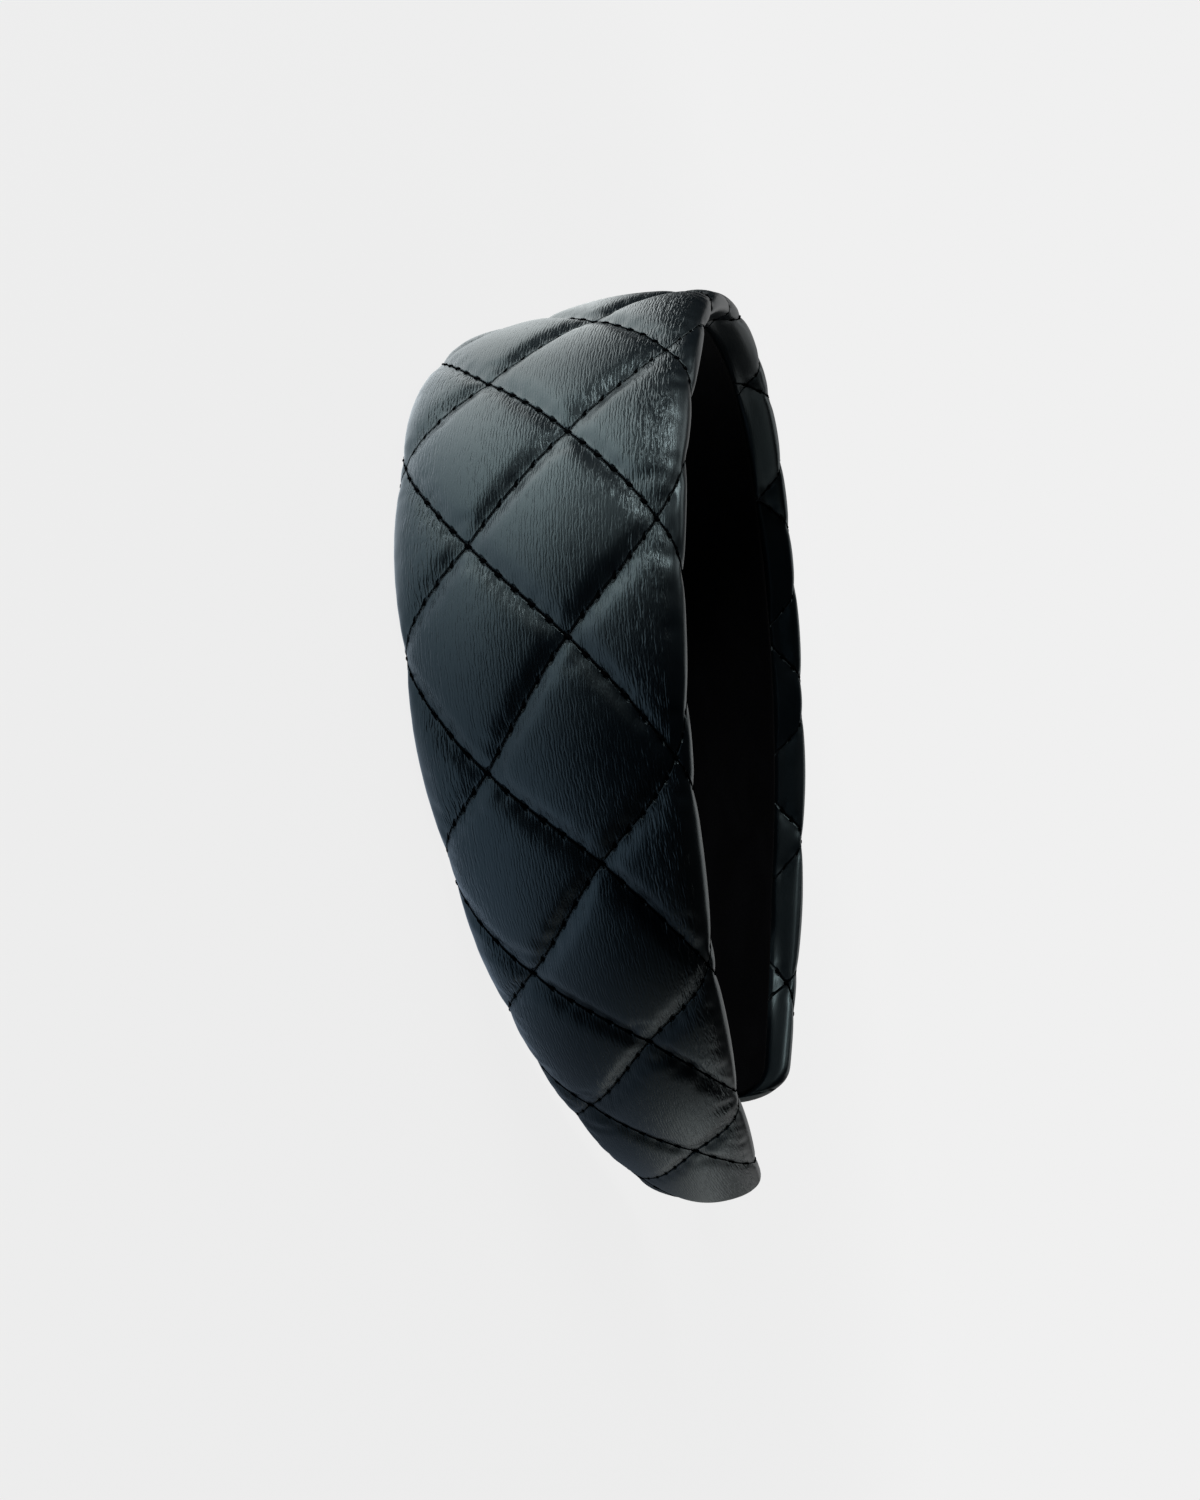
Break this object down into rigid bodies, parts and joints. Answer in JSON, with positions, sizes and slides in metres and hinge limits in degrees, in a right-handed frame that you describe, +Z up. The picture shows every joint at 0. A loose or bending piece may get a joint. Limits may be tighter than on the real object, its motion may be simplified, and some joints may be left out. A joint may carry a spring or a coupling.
{
  "type": "quilted headband",
  "caption": "Wide padded open-ended headband with a diamond-quilted outer face, rolled edges and a thin inner lining, tapering to round tips.",
  "frame": {"origin": "middle of the footprint, on the surface that the band lies on", "axes": "+X from one leg to the other, +Y from the top of the arch towards the tips, +Z up from the lower edge to the upper edge as the band lies on its side"},
  "size_m": [0.1344, 0.1524, 0.0457],
  "materials": {
    "black_faux_leather": "soft satin, fine grain",
    "black_lining_cloth": "matt short nap"
  },
  "bodies": {
    "root": {"quilted_cover": "black_faux_leather", "lining": "black_lining_cloth"}
  },
  "joints": []
}
